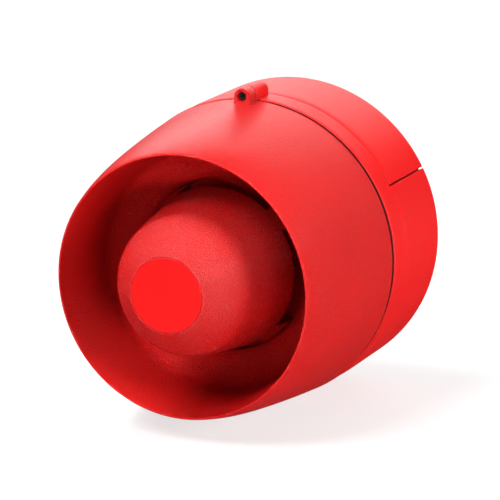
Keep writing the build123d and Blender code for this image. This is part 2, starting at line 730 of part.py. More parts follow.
NODES = (
    horn_shell, reflector_bullet, nose_disc, throat_plate, throat_gasket, flange_screws, ear_screws,
    driver_front_plate, diaphragm_ring, top_pole_plate, magnet_ring, pole_yoke, driver_cover,
    driver_screws, driver_terminals, diaphragm, coil_former, voice_coil, circuit_board, board_screws,
    dip_switch_body, trimmer_body, trimmer_rotor, transformer_core, transformer_winding, capacitors,
    controller_chip, contact_plug, contact_pins, screw_washer, lug_screw, base_shell, joint_seal,
    entry_cover, base_board, base_board_screws, terminal_block, terminal_screws, contact_socket,
    lug_insert, cable_grommet, blanking_plug,
)

os.makedirs("parts", exist_ok=True)
for build_node in NODES:
    keep(build_node(), build_node.__name__)
for number in range(DIP_COUNT):
    keep(dip_slider(number), f"dip_slider_{number + 1}")
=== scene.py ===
"""Looks for a wall alarm siren: a red folded horn with a round-nosed centre body on a deep base.

Every size below is in millimetres unless its name says otherwise. Radii are measured from the horn's
axis, which is the Y axis. Angles round it are in degrees from the top, and grow towards +X.
"""

import json
import logging
import math
from dataclasses import dataclass, field
from enum import Enum
from typing import Sequence

import bmesh
import bpy
import numpy as np
from mathutils import Matrix, Vector


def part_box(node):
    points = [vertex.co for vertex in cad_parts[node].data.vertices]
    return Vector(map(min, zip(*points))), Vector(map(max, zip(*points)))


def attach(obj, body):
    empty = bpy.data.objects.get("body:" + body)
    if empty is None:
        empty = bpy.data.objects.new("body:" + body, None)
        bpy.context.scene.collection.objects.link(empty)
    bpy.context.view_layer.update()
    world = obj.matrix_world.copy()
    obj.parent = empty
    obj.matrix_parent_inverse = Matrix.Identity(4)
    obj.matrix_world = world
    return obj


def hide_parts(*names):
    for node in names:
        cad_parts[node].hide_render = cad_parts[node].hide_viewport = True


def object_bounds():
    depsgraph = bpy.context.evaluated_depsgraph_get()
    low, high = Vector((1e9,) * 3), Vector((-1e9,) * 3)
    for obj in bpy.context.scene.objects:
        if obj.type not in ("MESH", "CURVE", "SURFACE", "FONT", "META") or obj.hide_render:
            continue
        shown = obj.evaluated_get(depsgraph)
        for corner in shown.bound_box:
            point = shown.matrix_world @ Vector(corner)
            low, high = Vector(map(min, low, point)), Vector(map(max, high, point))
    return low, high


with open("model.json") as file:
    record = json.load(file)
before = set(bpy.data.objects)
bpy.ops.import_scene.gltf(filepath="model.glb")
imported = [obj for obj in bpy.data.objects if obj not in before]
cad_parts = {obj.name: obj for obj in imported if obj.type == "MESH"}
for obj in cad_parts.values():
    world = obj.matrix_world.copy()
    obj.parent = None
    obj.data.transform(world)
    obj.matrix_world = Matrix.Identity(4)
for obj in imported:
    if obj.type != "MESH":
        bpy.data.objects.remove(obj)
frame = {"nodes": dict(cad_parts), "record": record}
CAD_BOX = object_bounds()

LOG = logging.getLogger("siren")
MM = 0.001


# ------------------------------------------------------------------------------- surfaces


def rounded(corners: Sequence[tuple[float, float, float]], steps: int = 5) -> np.ndarray:
    """Path through corners, each turned into a short curve.

    A corner of fillet f becomes the quadratic curve whose ends lie f along its two sides and whose
    middle control point is the corner itself. A corner of fillet 0 stays one point.

    Args:
        corners: (radius, depth, fillet) rows in order.
        steps: Points on each curve.

    Returns:
        (n, 2) array of radius and depth.
    """
    table = np.asarray(corners, float)
    spots, fillets = table[:, :2], table[:, 2]
    before = np.roll(spots, 1, axis=0)
    after = np.roll(spots, -1, axis=0)
    share = np.linspace(0.0, 1.0, steps)[:, None]
    pieces = []
    for spot, last, following, fillet in zip(spots, before, after, fillets):
        if fillet <= 0.0:
            pieces.append(spot[None, :])
            continue
        start = spot + (last - spot) / np.linalg.norm(last - spot) * fillet
        end = spot + (following - spot) / np.linalg.norm(following - spot) * fillet
        pieces.append((1 - share) ** 2 * start + 2 * share * (1 - share) * spot + share ** 2 * end)
    return np.concatenate(pieces)


def turned(profile: np.ndarray, angles: np.ndarray) -> np.ndarray:
    """Surface of revolution about Y: x = r sin(angle), y = depth, z = r cos(angle).

    Args:
        profile: (rows, 2) radius and depth, or (rows, columns, 2) where it changes round the axis.
        angles: Column angles in degrees.

    Returns:
        (rows, columns, 3) grid of points.
    """
    turn = np.radians(angles)
    table = profile[:, None, :] if profile.ndim == 2 else profile
    radius, depth = table[..., 0], table[..., 1]
    return np.stack(np.broadcast_arrays(radius * np.sin(turn), depth, radius * np.cos(turn)), axis=-1)


def stacked(rows: Sequence[tuple[np.ndarray, float]]) -> np.ndarray:
    """Grid of a stack of (x, z) loops, each at its own y."""
    loops = np.stack([loop for loop, _ in rows])
    depth = np.array([y for _, y in rows])[:, None] + np.zeros(loops.shape[:2])
    return np.stack([loops[..., 0], depth, loops[..., 1]], -1)


def column(radius: float, low: float, high: float, sides: int = 32) -> np.ndarray:
    """Grid of a plain closed cylinder about Y.

    Args:
        radius: Its radius.
        low: Y of one end.
        high: Y of the other end.
        sides: Number of columns round it.

    Returns:
        (4, sides, 3) grid of points.
    """
    return turned(np.array([(0.0, low), (radius, low), (radius, high), (0.0, high)]), full_turn(sides))


def bar(half_width: float, low: float, high: float, front: float, rear: float) -> np.ndarray:
    """Grid of a closed straight bar along Y, centred on x = 0, with its long edges rounded.

    Args:
        half_width: Half of its width in x.
        low: Its lower z.
        high: Its upper z.
        front: Y of its front end.
        rear: Y of its rear end.

    Returns:
        (4, points, 3) grid whose first and last rows close the ends.
    """
    loop = rounded([(-half_width, low, 0.3), (half_width, low, 0.3),
                    (half_width, high, 0.3), (-half_width, high, 0.3)])
    middle = np.broadcast_to(loop.mean(axis=0), loop.shape)
    return stacked([(middle, front), (loop, front), (loop, rear), (middle, rear)])


def full_turn(count: int) -> np.ndarray:
    """Evenly spaced angles of a whole turn, without the repeated last one."""
    return np.linspace(0.0, 360.0, count, endpoint=False)


def grid_faces(rows: int, columns: int, wrap_rows: bool, wrap_columns: bool) -> np.ndarray:
    """Corner numbers of the quads of a grid.

    Args:
        rows: Number of rows of points.
        columns: Number of columns of points.
        wrap_rows: Whether the last row meets the first.
        wrap_columns: Whether the last column meets the first.

    Returns:
        (n, 4) array, with points numbered row by row.
    """
    row = np.arange(rows if wrap_rows else rows - 1)[:, None]
    column = np.arange(columns if wrap_columns else columns - 1)[None, :]
    next_row, next_column = (row + 1) % rows, (column + 1) % columns
    corners = [
        row * columns + column,
        row * columns + next_column,
        next_row * columns + next_column,
        next_row * columns + column,
    ]
    return np.stack(np.broadcast_arrays(*corners), axis=-1).reshape(-1, 4)


@dataclass
class Skin:
    """Grids of points that together make one mesh.

    Attributes:
        points: One (n, 3) array for each grid.
        faces: One (m, 4) array for each grid, numbered from the mesh's first point.
    """

    points: list[np.ndarray] = field(default_factory=list)
    faces: list[np.ndarray] = field(default_factory=list)

    def add(self, grid: np.ndarray, wrap_rows: bool = False, wrap_columns: bool = False) -> "Skin":
        """Add one grid whose quads face outwards once its volume is known to be positive.

        Args:
            grid: (rows, columns, 3) points in millimetres.
            wrap_rows: Whether the last row meets the first.
            wrap_columns: Whether the last column meets the first.

        Returns:
            The skin itself, so that calls can follow each other.
        """
        rows, columns = grid.shape[:2]
        flat = grid.reshape(-1, 3)
        quads = grid_faces(rows, columns, wrap_rows, wrap_columns)
        a, b, c, d = (flat[quads[:, corner]] for corner in range(4))
        volume = np.einsum("ij,ij->", a, np.cross(b, c)) + np.einsum("ij,ij->", a, np.cross(c, d))
        if volume < 0:
            quads = quads[:, ::-1]
        start = sum(len(block) for block in self.points)
        self.points.append(flat)
        self.faces.append(quads + start)
        return self

    def solid(self, name: str, sharp_degrees: float = 40.0) -> bpy.types.Object:
        """Make the mesh object, with doubled points merged at poles and steps.

        Args:
            name: Name of the object.
            sharp_degrees: Edges that turn more than this stay crisp.

        Returns:
            The new object, at the origin, with its place in its mesh.
        """
        mesh = bpy.data.meshes.new(name)
        points = np.concatenate(self.points) * MM
        mesh.from_pydata(points.tolist(), [], np.concatenate(self.faces).tolist())
        shape = bmesh.new()
        shape.from_mesh(mesh)
        bmesh.ops.remove_doubles(shape, verts=shape.verts, dist=1e-7)
        bmesh.ops.dissolve_degenerate(shape, edges=shape.edges, dist=1e-7)
        shape.to_mesh(mesh)
        shape.free()
        mesh.shade_smooth()
        mesh.set_sharp_from_angle(angle=math.radians(sharp_degrees))
        piece = bpy.data.objects.new(name, mesh)
        bpy.context.scene.collection.objects.link(piece)
        return piece


def curve_through(stations: Sequence[float], values: Sequence[float], at: np.ndarray) -> np.ndarray:
    """Polynomial of the lowest degree that passes through every value, read at new stations."""
    return np.polyval(np.polyfit(stations, values, len(stations) - 1), at)


# ------------------------------------------------------------------------------- finishes


class Grain(Enum):
    """Surface of a moulding tool: its pattern size and depth, both in metres."""

    SPARKED = (0.0009, 0.0013)
    FINE = (0.0007, 0.0003)
    POLISHED = (0.0012, 0.000003)


class Builder:
    """Small helper that adds nodes to one material."""

    def __init__(self, name: str) -> None:
        """Start an empty material with a Principled surface."""
        self.material = bpy.data.materials.new(name)
        self.material.use_nodes = True
        self.tree = self.material.node_tree
        self.surface = self.tree.nodes["Principled BSDF"]

    def node(self, kind: str, **settings: object) -> bpy.types.Node:
        """Add a node and set its named properties."""
        made = self.tree.nodes.new(kind)
        for key, value in settings.items():
            setattr(made, key, value)
        return made

    def link(self, source: bpy.types.NodeSocket, target: bpy.types.NodeSocket) -> None:
        """Join an output to an input."""
        self.tree.links.new(source, target)

    def place(self) -> bpy.types.NodeSocket:
        """Object coordinates of the piece."""
        return self.node("ShaderNodeTexCoord").outputs["Object"]

    def noise(self, size: float, detail: float = 2.0, roughness: float = 0.5) -> bpy.types.Node:
        """Noise whose lumps are about one size across, in metres."""
        made = self.node("ShaderNodeTexNoise")
        made.inputs["Scale"].default_value = 1.0 / size
        made.inputs["Detail"].default_value = detail
        made.inputs["Roughness"].default_value = roughness
        self.link(self.place(), made.inputs["Vector"])
        return made

    def bump(self, height: bpy.types.NodeSocket, depth: float, strength: float = 1.0,
             under: bpy.types.Node | None = None) -> bpy.types.Node:
        """Bump of a depth in metres, laid over another bump if one is given."""
        made = self.node("ShaderNodeBump")
        made.inputs["Strength"].default_value = strength
        made.inputs["Distance"].default_value = depth
        self.link(height, made.inputs["Height"])
        if under is not None:
            self.link(under.outputs["Normal"], made.inputs["Normal"])
        return made

    def ramp(self, value: bpy.types.NodeSocket, stops: Sequence[tuple[float, tuple[float, ...]]]
             ) -> bpy.types.Node:
        """Colour ramp with the given stops."""
        made = self.node("ShaderNodeValToRGB")
        while len(made.color_ramp.elements) < len(stops):
            made.color_ramp.elements.new(0.5)
        for element, (position, colour) in zip(made.color_ramp.elements, stops):
            element.position = position
            element.color = (*colour[:3], 1.0)
        self.link(value, made.inputs["Fac"])
        return made


@dataclass(frozen=True)
class Moulding:
    """Injection-moulded plastic, coloured right through.

    Attributes:
        name: Name of the material.
        colour: Linear base colour.
        roughness: Mean roughness.
        grain: Texture of the tool.
        specular: Specular level.
        spread: How far the roughness wanders from its mean.
    """

    name: str
    colour: tuple[float, float, float]
    roughness: float
    grain: Grain
    specular: float = 0.25
    spread: float = 0.05

    def material(self) -> bpy.types.Material:
        """Build the node material."""
        build = Builder(self.name)
        size, depth = self.grain.value
        broad = build.noise(0.03, 3.0)
        deep = tuple(channel * 0.93 for channel in self.colour)
        tone = build.ramp(broad.outputs["Fac"], ((0.3, deep), (0.7, self.colour)))
        build.link(tone.outputs["Color"], build.surface.inputs["Base Color"])
        pits = build.noise(size, 2.0, 0.6)
        fine = build.noise(size * 0.45, 1.0)
        wander = build.node("ShaderNodeMapRange")
        wander.inputs["To Min"].default_value = self.roughness - self.spread
        wander.inputs["To Max"].default_value = self.roughness + self.spread
        build.link(pits.outputs["Fac"], wander.inputs["Value"])
        build.link(wander.outputs["Result"], build.surface.inputs["Roughness"])
        first = build.bump(pits.outputs["Fac"], depth)
        second = build.bump(fine.outputs["Fac"], depth * 0.5, under=first)
        build.link(second.outputs["Normal"], build.surface.inputs["Normal"])
        build.surface.inputs["IOR"].default_value = 1.5
        build.surface.inputs["Specular IOR Level"].default_value = self.specular
        return build.material


@dataclass(frozen=True)
class Metal:
    """Turned, plated or cast metal.

    Attributes:
        name: Name of the material.
        colour: Linear base colour.
        roughness: Mean roughness.
        metallic: 1 for bare metal, 0 for ceramic such as ferrite.
        line_size: Width of the machining lines in metres.
    """

    name: str
    colour: tuple[float, float, float]
    roughness: float
    metallic: float = 1.0
    line_size: float = 0.0006

    def material(self) -> bpy.types.Material:
        """Build the node material."""
        build = Builder(self.name)
        broad = build.noise(0.006, 3.0)
        deep = tuple(channel * 0.8 for channel in self.colour)
        tone = build.ramp(broad.outputs["Fac"], ((0.3, deep), (0.7, self.colour)))
        build.link(tone.outputs["Color"], build.surface.inputs["Base Color"])
        lines = build.noise(self.line_size, 4.0, 0.6)
        wander = build.node("ShaderNodeMapRange")
        wander.inputs["To Min"].default_value = self.roughness - 0.08
        wander.inputs["To Max"].default_value = self.roughness + 0.1
        build.link(lines.outputs["Fac"], wander.inputs["Value"])
        build.link(wander.outputs["Result"], build.surface.inputs["Roughness"])
        worn = build.bump(lines.outputs["Fac"], 0.00001)
        build.link(worn.outputs["Normal"], build.surface.inputs["Normal"])
        build.surface.inputs["Metallic"].default_value = self.metallic
        return build.material


RED_GRAINED = Moulding("red_grained", (0.52, 0.0006, 0.0006), 0.31, Grain.SPARKED, 0.3, 0.08)
RED_NOSE = Moulding("red_nose", (0.50, 0.0006, 0.0006), 0.25, Grain.SPARKED, 0.5, 0.08)
RED_SATIN = Moulding("red_satin", (0.52, 0.0006, 0.0006), 0.38, Grain.FINE, 0.25)
RED_POLISHED = Moulding("red_polished", (0.54, 0.0006, 0.0006), 0.42, Grain.POLISHED, 0.15)
RUBBER = Moulding("seal_rubber", (0.004, 0.004, 0.004), 0.75, Grain.FINE, 0.05)
BLACK_PLASTIC = Moulding("black_plastic", (0.022, 0.022, 0.024), 0.5, Grain.FINE)
BOARD = Moulding("board_lacquer", (0.01, 0.10, 0.035), 0.3, Grain.POLISHED)
BLUE_PLASTIC = Moulding("blue_plastic", (0.015, 0.07, 0.35), 0.4, Grain.FINE)
GREEN_PLASTIC = Moulding("green_plastic", (0.02, 0.26, 0.08), 0.4, Grain.FINE)
WHITE_PLASTIC = Moulding("white_plastic", (0.75, 0.75, 0.72), 0.4, Grain.FINE)
FILM = Moulding("phenolic_film", (0.20, 0.10, 0.035), 0.35, Grain.FINE)
STEEL = Metal("plated_steel", (0.62, 0.62, 0.60), 0.34)
FERRITE = Metal("ferrite", (0.035, 0.035, 0.038), 0.55, 0.0)
ALUMINIUM = Metal("aluminium", (0.80, 0.80, 0.80), 0.36)
BRASS = Metal("brass", (0.72, 0.48, 0.18), 0.30)
COPPER = Metal("copper", (0.72, 0.28, 0.12), 0.32)
# Near-black metal, used on the lug screw and its washer instead of their steel slot so that the lug's hole
# reads dark.
NEAR_BLACK_METAL = Metal("near_black_metal", (0.03, 0.03, 0.032), 0.42, 0.8)

SLOT_FINISHES = {
    "red_textured": RED_GRAINED,
    "red_smooth": RED_SATIN,
    "black_rubber": RUBBER,
    "dark_plastic": BLACK_PLASTIC,
    "board_green": BOARD,
    "steel": STEEL,
    "ferrite": FERRITE,
    "aluminium": ALUMINIUM,
    "brass": BRASS,
    "copper": COPPER,
    "white_plastic": WHITE_PLASTIC,
    "blue_plastic": BLUE_PLASTIC,
    "green_plastic": GREEN_PLASTIC,
    "film": FILM,
}

NODE_FINISHES = {"lug_screw": NEAR_BLACK_METAL, "screw_washer": NEAR_BLACK_METAL}


class Dresser:
    """Makes each finish once and hands it to pieces and carried-over nodes."""

    def __init__(self) -> None:
        """Start with no material made."""
        self.made: dict[str, bpy.types.Material] = {}

    def material(self, finish: Moulding | Metal) -> bpy.types.Material:
        """The finish's material, made at its first use."""
        if finish.name not in self.made:
            self.made[finish.name] = finish.material()
        return self.made[finish.name]

    def dress(self, piece: bpy.types.Object, finish: Moulding | Metal) -> None:
        """Give a whole piece one finish."""
        piece.data.materials.clear()
        piece.data.materials.append(self.material(finish))

    def carry_over(self, standing_in: set[str]) -> None:
        """Dress every node that still shows with the finish of its record slot.

        Args:
            standing_in: Names of the nodes that new pieces replace.
        """
        for row in frame["record"]["subparts"]:
            if row["node"] not in standing_in:
                finish = NODE_FINISHES.get(row["node"], SLOT_FINISHES[row["material_slot"]])
                self.dress(frame["nodes"][row["node"]], finish)
                LOG.info("carried over %s", row["node"])


@dataclass
class Assembly:
    """Base of the sub-assemblies: places finished pieces and keeps count of the nodes replaced."""

    dresser: Dresser
    replaced: set[str] = field(default_factory=set)

    def settle(self, piece: bpy.types.Object, body: str, finish: Moulding | Metal, slot: str,
               *nodes: str) -> bpy.types.Object:
        """Dress a piece, let it ride on its body and name what it stands for.

        Args:
            piece: The finished object.
            body: CAD body that carries it.
            finish: Its material.
            slot: The record's material slot; not used.
            nodes: CAD nodes that it replaces.

        Returns:
            The same piece.
        """
        self.dresser.dress(piece, finish)
        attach(piece, body)
        if nodes:
            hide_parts(*nodes)
            self.replaced.update(nodes)
        LOG.info("%s: %d faces on %s", piece.name, len(piece.data.polygons), body)
        return piece


# ------------------------------------------------------------------------------- lugs


@dataclass(frozen=True)
class Lug:
    """Round lug on a straight-sided foot whose lowest part spreads onto the skin.

    Attributes:
        radius: Radius of the round part.
        height: Distance of its axis from the horn's axis.
        foot: Distance of the foot's lowest point from the horn's axis.
        spread: How far the foot spreads at its lowest point.
    """

    radius: float = 4.4
    height: float = 84.5
    foot: float = 79.6
    spread: float = 0.4

    def section(self, inset: float = 0.0) -> np.ndarray:
        """Closed (x, z) loop: up the right side, over the round, down the left and back.

        The side's half width is the radius plus a spread that dies away exponentially with height.
        """
        low = np.linspace(self.foot, self.height, 12)
        half = self.radius - inset + self.spread * np.exp((self.foot + 1.0 - low) / 0.7).clip(max=1.0)
        turn = np.linspace(math.pi / 2, -math.pi / 2, 31)
        round_x = (self.radius - inset) * np.sin(turn)
        round_z = self.height + (self.radius - inset) * np.cos(turn)
        floor_x = np.linspace(-half[0], half[0], 9)[1:-1]
        x = np.concatenate([half, round_x[1:-1], -half[::-1], floor_x])
        z = np.concatenate([low, round_z[1:-1], low[::-1], np.full(7, self.foot)])
        return np.stack([x, z], -1)

    def hole(self, radius: float) -> np.ndarray:
        """Loop of the same number of points on a circle about the lug's axis, each at its own bearing."""
        loop = self.section()
        bearing = np.arctan2(loop[:, 0], loop[:, 1] - self.height)
        return np.stack([radius * np.sin(bearing), self.height + radius * np.cos(bearing)], -1)

    def recessed(self, front: float, rear: float, bore: float, floor: float, shank: float) -> np.ndarray:
        """Lug open at both ends, with a wide bore down to a floor and a narrow one through it.

        Args:
            front: Y of its front face.
            rear: Y of its rear face.
            bore: Radius of the wide bore.
            floor: Y of the wide bore's floor.
            shank: Radius of the narrow bore.

        Returns:
            Grid whose rows run from the rear over the outside and back through the bores.
        """
        return stacked([
            (self.section(), rear),
            (self.section(), front + 0.3),
            (self.section(0.1), front + 0.08),
            (self.section(0.32), front),
            (self.hole(bore + 0.25), front),
            (self.hole(bore), front + 0.25),
            (self.hole(bore), floor),
            (self.hole(shank), floor),
            (self.hole(shank), rear),
        ])

    def capped(self, front: float, rear: float, bore: float, floor: float) -> np.ndarray:
        """Lug with a blind bore in its front and a rounded rear end.

        Args:
            front: Y of its front face.
            rear: Y of its rear end.
            bore: Radius of the bore.
            floor: Y of the bore's floor.

        Returns:
            Grid whose rows run from the rear end over the outside and down the bore.
        """
        return stacked([
            (self.hole(0.0), rear),
            (self.section(1.4), rear),
            (self.section(0.5), rear - 0.18),
            (self.section(0.12), rear - 0.55),
            (self.section(), rear - 1.2),
            (self.section(), front + 0.2),
            (self.section(0.2), front),
            (self.hole(bore), front),
            (self.hole(bore), floor),
            (self.hole(0.0), floor),
        ])


# ------------------------------------------------------------------------------- horn


@dataclass
class Horn(Assembly):
    """Outer skin, flare and throat in one moulding, with the front lug, screw bosses and tongue."""

    rim: float = 68.6
    lip: float = 1.1
    skin_radii: tuple[float, ...] = (68.6, 73.4, 76.6, 79.3, 81.5)
    skin_length: float = 87.4
    wall: float = 2.5
    flare_radius: float = 64.6
    flare_depth: float = 42.0
    bowl: tuple[float, float] = (61.8, 51.0)
    throat_outer: tuple[float, float] = (50.0, 54.5)
    throat: tuple[float, float] = (46.3, 57.0)
    chamber_depth: float = 61.0
    flange_radius: float = 60.0
    flange_depth: float = 65.0
    boss_circle: float = 55.8
    boss_radius: float = 3.8
    first_boss: float = 5.0
    boss_count: int = 4
    boss_depths: tuple[float, float] = (55.2, 64.7)
    lug_front: float = -79.4
    lug_rear_depth: float = 86.55
    screw_recess: tuple[float, float] = (2.5, 5.9)
    shank_radius: float = 1.75
    tongue_half_width: float = 7.0
    tongue_heights: tuple[float, float] = (-77.7, -75.9)
    tongue_root_heights: tuple[float, float] = (-79.2, -75.8)
    tongue_root_length: float = 4.0
    tongue_reach: float = 10.0
    columns: int = 240

    def skin_radius(self, depth: np.ndarray) -> np.ndarray:
        """Outer radius at a depth behind the rim: the polynomial through evenly spaced radii."""
        stations = np.linspace(0.0, self.skin_length, len(self.skin_radii))
        return curve_through(stations, self.skin_radii, depth)

    def flare(self) -> np.ndarray:
        """Inner side from the bowl to the mouth: a quarter of a superellipse, then a gentle cone."""
        share = np.linspace(0.0, 1.0, 22) * math.pi / 2
        foot, depth = self.throat_outer
        power = 0.72
        radius = foot + (self.flare_radius - foot) * np.sin(share) ** power
        along = self.flare_depth + (depth - self.flare_depth) * np.cos(share) ** power
        cone = np.linspace(0.0, 1.0, 14)[1:]
        mouth = self.rim - self.lip
        cone_radius = self.flare_radius + (mouth - self.flare_radius) * cone
        cone_depth = self.flare_depth * (1 - cone)
        return np.stack([np.concatenate([radius, cone_radius]), np.concatenate([along, cone_depth])], -1)

    def outline(self, rim_y: float) -> np.ndarray:
        """Closed outline of the moulding's wall, as radius and y."""
        outside_depth = np.linspace(0.6, self.skin_length - 0.5, 30)
        outside = np.stack([self.skin_radius(outside_depth), outside_depth], -1)
        lip = np.array([[self.rim - 0.55, 0.0], [self.rim - 0.32, 0.10]])
        inside_depth = np.linspace(self.skin_length, 15.0, 18)
        inside = np.stack([self.skin_radius(inside_depth) - self.wall, inside_depth], -1)
        back = rounded([
            (self.flare_radius + 4.4, 14.0, 1.5),
            (self.flare_radius + self.wall, self.flare_depth, 6.0),
            (self.bowl[0] + 2.0, self.bowl[1] + 4.0, 3.0),
            (self.throat_outer[0] + self.wall, self.throat_outer[1] + self.wall + 0.3, 1.0),
            (self.throat_outer[0] + self.wall, self.flange_depth - self.wall, 0.8),
            (self.flange_radius, self.flange_depth - self.wall, 0.3),
            (self.flange_radius, self.flange_depth, 0.3),
            (self.throat_outer[0], self.flange_depth, 0.3),
            (self.throat_outer[0], self.chamber_depth, 0.8),
            (self.throat[0], self.throat[1] + 1.8, 0.4),
            (self.throat[0], self.throat[1], 0.5),
        ])
        rear = rounded([
            (self.skin_radii[-1], self.skin_length - 0.5, 0.0),
            (self.skin_radii[-1] - 0.35, self.skin_length, 0.0),
            (self.skin_radii[-1] - self.wall, self.skin_length, 0.0),
        ])
        edge = np.array([[self.rim - self.lip + 0.12, 0.12], [self.rim - self.lip + 0.4, 0.0]])
        loop = np.concatenate([outside, rear, inside[1:], back, self.flare()[:-1], edge, lip])
        return loop + np.array([0.0, rim_y])

    def build(self) -> None:
        """Make the horn with its lug, screw bosses and locating tongue."""
        rim_y = self.rim_y()
        skin = Skin().add(turned(self.outline(rim_y), full_turn(self.columns)), True, True)
        rear = rim_y + self.lug_rear_depth
        bore, reach = self.screw_recess
        lug = Lug().recessed(self.lug_front, rear, bore, self.lug_front + reach, self.shank_radius)
        skin.add(lug, True, True)
        boss = column(self.boss_radius, *(depth + rim_y for depth in self.boss_depths))
        for turn in np.radians(self.first_boss + full_turn(self.boss_count)):
            middle = self.boss_circle * np.array([math.sin(turn), 0.0, math.cos(turn)])
            skin.add(boss + middle, False, True)
        start = rear - self.tongue_root_length
        skin.add(bar(self.tongue_half_width, *self.tongue_root_heights, start, rear), False, True)
        tongue = bar(self.tongue_half_width, *self.tongue_heights, start, rear + self.tongue_reach)
        skin.add(tongue, False, True)
        shell = skin.solid("horn_skin")
        self.settle(shell, "head", RED_GRAINED, "red_textured", "horn_shell")

    @staticmethod
    def rim_y() -> float:
        """Y of the rim plane, in millimetres."""
        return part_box("horn_shell")[0].y / MM


@dataclass
class CentreBody(Assembly):
    """Round-nosed body that folds the horn, with its ears and the inlay disc."""

    overhang: float = 16.5
    disc_radius: float = 19.1
    disc_thickness: float = 2.0
    groove: float = 0.14
    face_radius: float = 20.3
    shoulder: tuple[float, float] = (35.6, -1.2)
    waist: tuple[float, float] = (38.7, 17.0)
    skirt: tuple[float, float] = (42.9, 46.4)
    wall: float = 2.5
    ear_count: int = 4
    ear_half_width: float = 6.5
    ear_path: tuple[tuple[float, float, float], ...] = (
        (39.0, 34.0, 0.0), (42.7, 46.0, 3.0), (45.7, 53.0, 3.5), (45.9, 58.0, 2.0), (45.9, 65.6, 0.0))
    ear_spread: tuple[float, float, float] = (46.0, 10.0, 2.2)
    first_ear: float = 48.5
    columns: int = 200

    def outline(self, rim_y: float) -> np.ndarray:
        """Closed outline of the shell: disc seat, bevelled nose, flared side, skirt edge and inside."""
        face = -self.overhang + 0.25
        seat = -self.overhang + self.disc_thickness
        rim = self.disc_radius + self.groove
        wall = self.wall
        loop = rounded([
            (0.0, seat, 0.0),
            (rim, seat, 0.0),
            (rim, face, 0.2),
            (self.face_radius, face, 0.8),
            (*self.shoulder, 7.0),
            (*self.waist, 8.0),
            (*self.skirt, 0.5),
            (self.skirt[0] - wall, self.skirt[1], 0.5),
            (self.waist[0] - wall, self.waist[1], 6.0),
            (self.shoulder[0] - wall, self.shoulder[1] + 1.0, 5.0),
            (self.face_radius - 2.5, seat + wall, 1.5),
            (0.0, seat + wall, 0.0),
        ], steps=9)
        return loop + np.array([0.0, rim_y])

    def ear(self, angle: float, rim_y: float) -> np.ndarray:
        """One ear: a bent strip whose edges flare out as it meets the throat.

        The strip follows a path from the skirt into the throat. Its half width is constant at first and
        grows with the square of the way past the skirt, and its section is a flat loop, thickest in
        its middle.

        Args:
            angle: Where the ear's middle stands, in degrees.
            rim_y: Y of the rim plane.

        Returns:
            Grid of points, a closed section in each row.
        """
        path = rounded(self.ear_path, steps=8)
        start, length, spread = self.ear_spread
        share = np.clip((path[:, 1:] - start) / length, 0.0, 1.0)
        half = self.ear_half_width + spread * share ** 2
        across = np.concatenate([np.linspace(-1, 1, 17), np.linspace(1, -1, 17)])[None, :]
        under = np.repeat([0.0, 1.0], 17)[None, :]
        edge = 1 - np.abs(across) ** 10
        radius = path[:, :1] - 0.25 * (1 - edge) - (0.4 + 2.4 * edge) * under
        turn = np.radians(np.degrees(across * half / path[:, :1]) + angle)
        depth = path[:, 1:] + rim_y + 0 * turn
        return np.stack([radius * np.sin(turn), depth, radius * np.cos(turn)], -1)

    def disc_outline(self, rim_y: float) -> np.ndarray:
        """Outline of the inlay disc with a small round at its edge."""
        front = -self.overhang
        loop = rounded([
            (0.0, front + self.disc_thickness, 0.0),
            (self.disc_radius, front + self.disc_thickness, 0.0),
            (self.disc_radius, front, 0.28),
            (0.0, front, 0.0),
        ], steps=6)
        return loop + np.array([0.0, rim_y])

    def build(self) -> None:
        """Make the shell with its ears, and the disc."""
        rim_y = Horn.rim_y()
        skin = Skin().add(turned(self.outline(rim_y), full_turn(self.columns)), False, True)
        for index in range(self.ear_count):
            angle = self.first_ear + index * 360.0 / self.ear_count
            ear = self.ear(angle, rim_y)
            ends = [ear[:1].mean(axis=1, keepdims=True), ear[-1:].mean(axis=1, keepdims=True)]
            caps = [np.repeat(end, ear.shape[1], axis=1) for end in ends]
            skin.add(np.concatenate([caps[0], ear, caps[1]]), False, True)
        self.settle(skin.solid("centre_body"), "head", RED_NOSE, "red_textured", "reflector_bullet")
        disc = Skin().add(turned(self.disc_outline(rim_y), full_turn(120)), False, True)
        self.settle(disc.solid("nose_inlay"), "head", RED_POLISHED, "red_smooth", "nose_disc")


# ------------------------------------------------------------------------------- base


